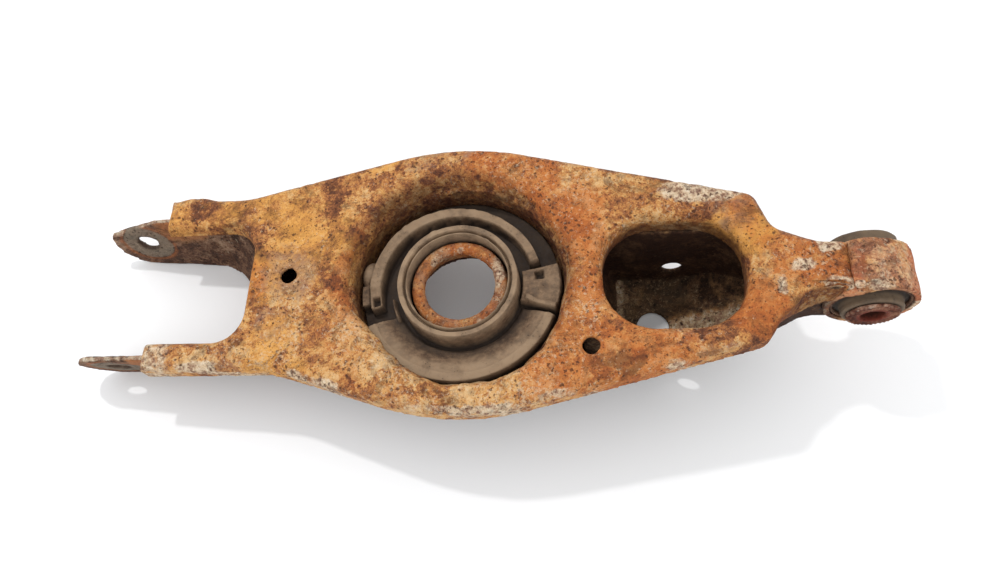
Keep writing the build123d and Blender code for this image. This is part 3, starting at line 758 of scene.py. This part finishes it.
def eye_warp(points):
    """Beads eased into the ring, so that ring and beads look like one forged lump."""
    x, y, z = points.T.copy()
    reach = np.hypot(x, z)
    proud = np.maximum(reach - EYE_RADIUS, 0)
    pull = np.where(proud > 0, EYE_RADIUS + 0.75 * proud, reach) / np.maximum(reach, 1)
    return np.column_stack((x * pull, y, z * pull))


steel_look(("upper_shell", "spring_cup"), "arm", PAN, 1.4, 0.34, 100, pan_layers, pan_warp)
steel_look(("lower_shell",), "arm", CHANNEL, 1.4, 0.25, 200, channel_layers, ear_warp)
steel_look(("damper_bracket", "bracket_side_far", "bracket_side_near"), "arm", BRACKET,
           1.3, 0.25, 300, bracket_layers, bracket_warp)
steel_look(("eye_ring", "eye_weld_upper", "eye_weld_lower"), "arm", EYE, 0.7, 0.32, 400,
           eye_layers, eye_warp)


# ---------------------------------------------------------------- welds

def weld_look(node, seed, pitch=2.2):
    """Bead along the arm, with ripples across it at that pitch in mm."""
    mesh = remeshed((node,), 0.5)
    points = to_arm(coords(mesh))
    wander = 0.6 * value_noise(points, 4, seed)
    ripple = np.abs(np.sin(points[:, 0] * math.pi / pitch + wander))
    swell(mesh, 0.55 * (ripple - 0.6) + 0.35 * fractal(points, 5, seed + 1, 3))
    attribute(mesh, "rim", 0.3 + 0.3 * value_noise(points, 8, seed + 2))
    attribute(mesh, "orange", 0.5 + 0.5 * value_noise(points, 12, seed + 3))
    attribute(mesh, "hollow", 1 - ripple)
    show(mesh, (node,), "arm", WELD)


for place, node in enumerate(("fork_weld_far", "fork_weld_near", "bracket_weld_far", "bracket_weld_near")):
    weld_look(node, 500 + 10 * place)


# ---------------------------------------------------------------- turned pieces

def mirrored(half):
    """Profile from its half at -y: the same points come back in turn at +y."""
    return half + [(radius, -y) for radius, y in reversed(half)]


def lathe(name, profile, steps, shape=None):
    """Closed ring about the eye's axis, and its points. profile is (radius, y) pairs in mm."""
    profile = np.array(profile, dtype=float)
    turns = np.linspace(0, 2 * math.pi, steps, endpoint=False)
    grid_turn = np.repeat(turns, len(profile))
    radius = np.tile(profile[:, 0], steps)
    along = np.tile(profile[:, 1], steps)
    if shape is not None:
        radius, along = shape(radius, along, grid_turn)
    points = np.column_stack((radius * np.cos(grid_turn), along, radius * np.sin(grid_turn)))
    count = len(profile)
    faces = []
    for i in range(steps):
        a, b = i * count, (i + 1) % steps * count
        for j in range(count):
            k = (j + 1) % count
            faces.append((a + j, a + k, b + k, b + j))
    mesh = bpy.data.meshes.new(name)
    mesh.from_pydata([tuple(p) for p in to_row(points)], [], faces)
    mesh.shade_smooth()
    return mesh, points


def dense(profile, step):
    """Profile with its runs divided so that no run is longer than step."""
    out = []
    for (r0, y0), (r1, y1) in zip(profile, profile[1:] + profile[:1]):
        parts = max(1, math.ceil(math.hypot(r1 - r0, y1 - y0) / step))
        for i in range(parts):
            out.append((r0 + (r1 - r0) * i / parts, y0 + (y1 - y0) * i / parts))
    return out


def sleeve_shape(radius, along, turn):
    """Serrations on the flanges' faces, worn towards the rim."""
    face = (np.abs(along) > 21.0) & (radius > 9.0)
    teeth = np.sin(turn * 36) * 0.22 * smoothstep(8.8, 10.5, radius) * smoothstep(14.4, 13.4, radius)
    along = along + np.where(face, np.sign(along) * (teeth - 0.05), 0)
    return radius, along


sleeve_profile = dense(mirrored([
    (6.7, -20.6), (7.3, -21.2), (13.6, -21.2), (14.2, -20.6), (14.2, -19.6), (13.8, -19.2),
    (8.6, -19.2)]), 1.0)
mesh, points = lathe("bush_inner_sleeve_look", sleeve_profile, 288, sleeve_shape)
swell(mesh, 0.10 * fractal(points, 3.0, 600, 3))
from_axis = np.hypot(points[:, 0], points[:, 2])
attribute(mesh, "rim", 0.55 * smoothstep(10.5, 13.5, from_axis))
attribute(mesh, "orange", smoothstep(10.5, 7.5, from_axis))
# painted shade on the sleeve's tube inside the bore, clear of its flanges
attribute(mesh, "shade", smoothstep(20.5, 17.0, np.abs(points[:, 1])) * 0.8)
show(mesh, ("bush_inner_sleeve",), "bush_sleeve", INNER)

# the near lip is thin and set back, and the far one is a tall collar
rubber_profile = dense([
    (8.75, -18.0), (10.6, -18.2), (11.2, -18.7), (15.2, -18.9), (16.2, -18.5), (16.5, -17.4), (16.4, -15.2),
    (17.2, -12.9), (18.4, -12.0), (19.7, -12.0), (19.7, 12.0), (19.3, 13.0), (19.2, 22.2), (18.7, 22.9),
    (17.2, 23.1), (15.4, 22.9), (14.7, 22.2), (14.7, 19.0), (11.2, 18.7), (10.6, 18.2), (8.75, 18.0)], 0.9)
mesh, points = lathe("bush_rubber_look", rubber_profile, 192)
swell(mesh, 0.14 * fractal(points, 6.0, 620, 3))
from_axis = np.hypot(points[:, 0], points[:, 2])
attribute(mesh, "dust", smoothstep(13.5, 15.5, from_axis) * 0.8)
# painted shade on the rubber's middle, inside the ring
attribute(mesh, "shade", smoothstep(15.5, 12.5, np.abs(points[:, 1])))
show(mesh, ("bush_rubber",), "arm", BUSH)

shell_profile = dense(mirrored([(19.8, -13.6), (20.2, -14.0), (21.1, -14.0), (21.4, -13.6)]), 1.0)
mesh, points = lathe("bush_outer_sleeve_look", shell_profile, 160)
# painted shade over the whole outer sleeve, which sits in the ring's bore
attribute(mesh, "shade", 0.4)
show(mesh, ("bush_outer_sleeve",), "arm", SLEEVE)


# ---------------------------------------------------------------- spring pad

def arc(turn, start, stop, soft=0.9):
    """1 inside an arc of degrees, easing to 0 over a soft edge."""
    width = stop - start
    offset = (turn - start) % 360
    offset = np.where(offset > 180 + width / 2, offset - 360, offset)
    return smoothstep(0, soft, offset) * smoothstep(0, soft, width - offset)


def band(radius, low, high, soft=0.6):
    """1 between two radii, easing to 0 over a soft edge."""
    return smoothstep(low, low + soft, radius) * smoothstep(high, high - soft, radius)


def pad_height(radius, turn):
    """Height of the pad's upper surface."""
    z = np.full(len(radius), PAD_FLOOR)
    z = np.maximum(z, PAD_FLOOR + 19.0 * band(radius, 29.0, 36.3, 0.9))
    z -= 5.0 * band(radius, 30.4, 32.6, 0.6)
    # wall outside the coil on the far side, which winds inward and gets lower
    wind = smoothstep(150, 40, turn) * (turn < 200) + (turn > 330)
    outer, inner = 55.0 - 4.6 * wind, 46.8 - 3.3 * wind
    top = 9.4 - 2.0 * arc(turn, 178, 200, 6) - 1.2 * wind
    wall = smoothstep(inner, inner + 0.9, radius) * smoothstep(outer, outer - 0.9, radius)
    wall *= arc(turn, 17, 196, 1.6)
    socket = arc(turn, 187, 194, 1.2) * band(radius, 48.0, 53.0, 0.8)
    z = np.maximum(z, PAD_FLOOR + (top - PAD_FLOOR) * wall - 5.5 * socket * wall)
    # two lumps outside the wall's end: a boulder and a flat ledge
    boulder = np.hypot((turn - 170) * 0.62, radius - 56.6) / 6.2
    z = np.maximum(z, PAD_FLOOR + 12.0 * np.sqrt(np.clip(1 - boulder * boulder, 0, 1)))
    ledge = band(radius, 54.5, 60.3, 0.8) * arc(turn, 177, 192, 1.5)
    z = np.maximum(z, PAD_FLOOR + 8.0 * ledge)
    # dished seat that winds up under the coil on the near side, with a raised outer band
    climb = np.clip(((turn - 205) % 360) / 138, 0, 1)
    seat = 1.0 + 6.6 * smoothstep(38.5, 53.5, radius) + 1.2 * np.sin(climb * math.pi)
    seat += 1.2 * smoothstep(53.6, 55.0, radius)
    ramp = band(radius, 38.5, 60.6, 1.2) * arc(turn, 203, 343, 3.0)
    z = np.maximum(z, PAD_FLOOR + (seat - PAD_FLOOR) * ramp)
    # end stop, with a lip along the edge that faces the coil's cut end
    stop = band(radius, 37.2, 60.6, 0.9) * arc(turn, 343, 374, 1.4)
    bow = 3.0 * smoothstep(50, 38, radius)
    lip = arc(turn - bow, 342.5, 348.5, 1.2) * band(radius, 40.0, 60.0, 1.0)
    z = np.maximum(z, PAD_FLOOR + 9.6 * stop + 2.6 * lip * stop)
    z -= 6.0 * arc(turn, 3.5, 10.5, 1.6) * band(radius, 45.0, 51.0, 1.2)
    # low inner wall at the start of the ramp
    low_wall = band(radius, 39.6, 42.4, 0.8) * arc(turn, 188, 212, 2)
    return np.maximum(z, PAD_FLOOR + 7.0 * low_wall)


# Rings of the pad's top, closer together where it has walls and a groove.
radii = np.unique(np.round(np.concatenate((
    np.arange(PAD_INNER, 38.0, 0.45), np.arange(38.0, 43.0, 0.8), np.arange(43.0, 56.5, 0.5),
    np.arange(56.5, PAD_OUTER, 0.6), [PAD_OUTER])), 3))
STEPS = 480
FOOT_POINTS = 7
turns = np.arange(STEPS) * 360.0 / STEPS
grid_turn = np.repeat(turns, len(radii))
grid_radius = np.tile(radii, STEPS)
height = pad_height(grid_radius, grid_turn)
flat = smoothstep(PAD_INNER, PAD_INNER + 0.9, grid_radius)
flat *= smoothstep(PAD_OUTER, PAD_OUTER - 0.7, grid_radius)
height -= 0.5 * (1 - flat)
top = np.column_stack((grid_radius, grid_turn, height))
foot_radii = np.linspace(PAD_OUTER, PAD_INNER, FOOT_POINTS)
foot_heights = np.full(FOOT_POINTS, PAD_FOOT)
spokes = []
for i, turn in enumerate(turns):
    spokes.append(top[i * len(radii):(i + 1) * len(radii)])
    spokes.append(np.column_stack((foot_radii, np.full(FOOT_POINTS, turn), foot_heights)))
polar = np.vstack(spokes)
from_axis, turn, level = polar[:, 0], polar[:, 1], polar[:, 2]
angle = np.radians(turn)
pad_points = np.column_stack((CUP_X + from_axis * np.cos(angle), CUP_Y + from_axis * np.sin(angle), level))
per = len(radii) + FOOT_POINTS
faces = []
for i in range(STEPS):
    a, b = i * per, (i + 1) % STEPS * per
    for j in range(per):
        k = (j + 1) % per
        faces.append((a + j, b + j, b + k, a + k))
mesh = bpy.data.meshes.new("spring_pad_look")
mesh.from_pydata([tuple(p) for p in to_row(pad_points)], [], faces)
mesh.shade_smooth()
even = spread(mesh, level, 14)
rubble = arc(turn + 20, 2, 52, 8) * smoothstep(37, 40, from_axis)
worn = (0.22 + 0.6 * rubble) * fractal(pad_points, 10.0, 700, 4) - 0.6 * pits(pad_points, 6.0, 710, 0.2)
worn *= level > PAD_FOOT + 0.5
swell(mesh, worn)
raised = smoothstep(5.5, 9, level)
band_tone = 0.55 * smoothstep(53.6, 55, from_axis) * arc(turn, 205, 343, 4)
mottle = 0.25 * fractal(pad_points, 7.0, 720, 4)
attribute(mesh, "dust", np.clip(0.15 + 0.65 * raised + band_tone + mottle, 0, 1) * (1 - 0.35 * rubble))
# painted shade in the pad's hollows and over its low parts
attribute(mesh, "shade", np.clip((even - level) / 3.5, 0, 1) + 0.95 * smoothstep(6.5, 0.5, level))
show(mesh, ("spring_pad",), "arm", PAD)


# ---------------------------------------------------------------- camera, light and floor

cam_data = bpy.data.cameras.new("camera")
cam_data.lens = LENS
cam_data.sensor_width = 36.0
cam_data.clip_start = 0.01
cam = bpy.data.objects.new("camera", cam_data)
scene.collection.objects.link(cam)
look = Vector((-math.sin(CAMERA_HEADING) * math.cos(CAMERA_PITCH),
               math.cos(CAMERA_HEADING) * math.cos(CAMERA_PITCH), -math.sin(CAMERA_PITCH)))
cam.location = CAMERA_AT
cam.rotation_mode = "QUATERNION"
cam.rotation_quaternion = look.to_track_quat("-Z", "Y")
scene.camera = cam

floor_mesh = bpy.data.meshes.new("floor")
corners = [(-FLOOR_HALF, -FLOOR_HALF), (FLOOR_HALF, -FLOOR_HALF), (FLOOR_HALF, FLOOR_HALF),
           (-FLOOR_HALF, FLOOR_HALF)]
floor_mesh.from_pydata([(x, y, cad_low.z) for x, y in corners], [], [(0, 1, 2, 3)])
floor = bpy.data.objects.new("floor", floor_mesh)
scene.collection.objects.link(floor)
paper = Shader("floor_paper")
paper_tone = paper.ramp(paper.noise(3.0, 3, 0.5), [(0.3, (246, 246, 247)), (0.7, (248, 248, 248))])
floor_mesh.materials.append(paper.finish(paper_tone, 0.85, None, specular=0.1))

lamp_data = bpy.data.lights.new("key", "AREA")
lamp_data.shape = "DISK"
lamp_data.size = LAMP_SIZE
lamp_data.energy = LAMP_POWER
lamp = bpy.data.objects.new("key", lamp_data)
lamp.location = LAMP_AT
lamp.rotation_mode = "QUATERNION"
lamp.rotation_quaternion = (Vector(LAMP_AIM) - Vector(LAMP_AT)).to_track_quat("-Z", "Y")
scene.collection.objects.link(lamp)
world = bpy.data.worlds.new("world")
world.use_nodes = True
sky = world.node_tree.nodes["Background"]
sky.inputs["Color"].default_value = SKY_COLOUR
sky.inputs["Strength"].default_value = SKY_STRENGTH
scene.world = world
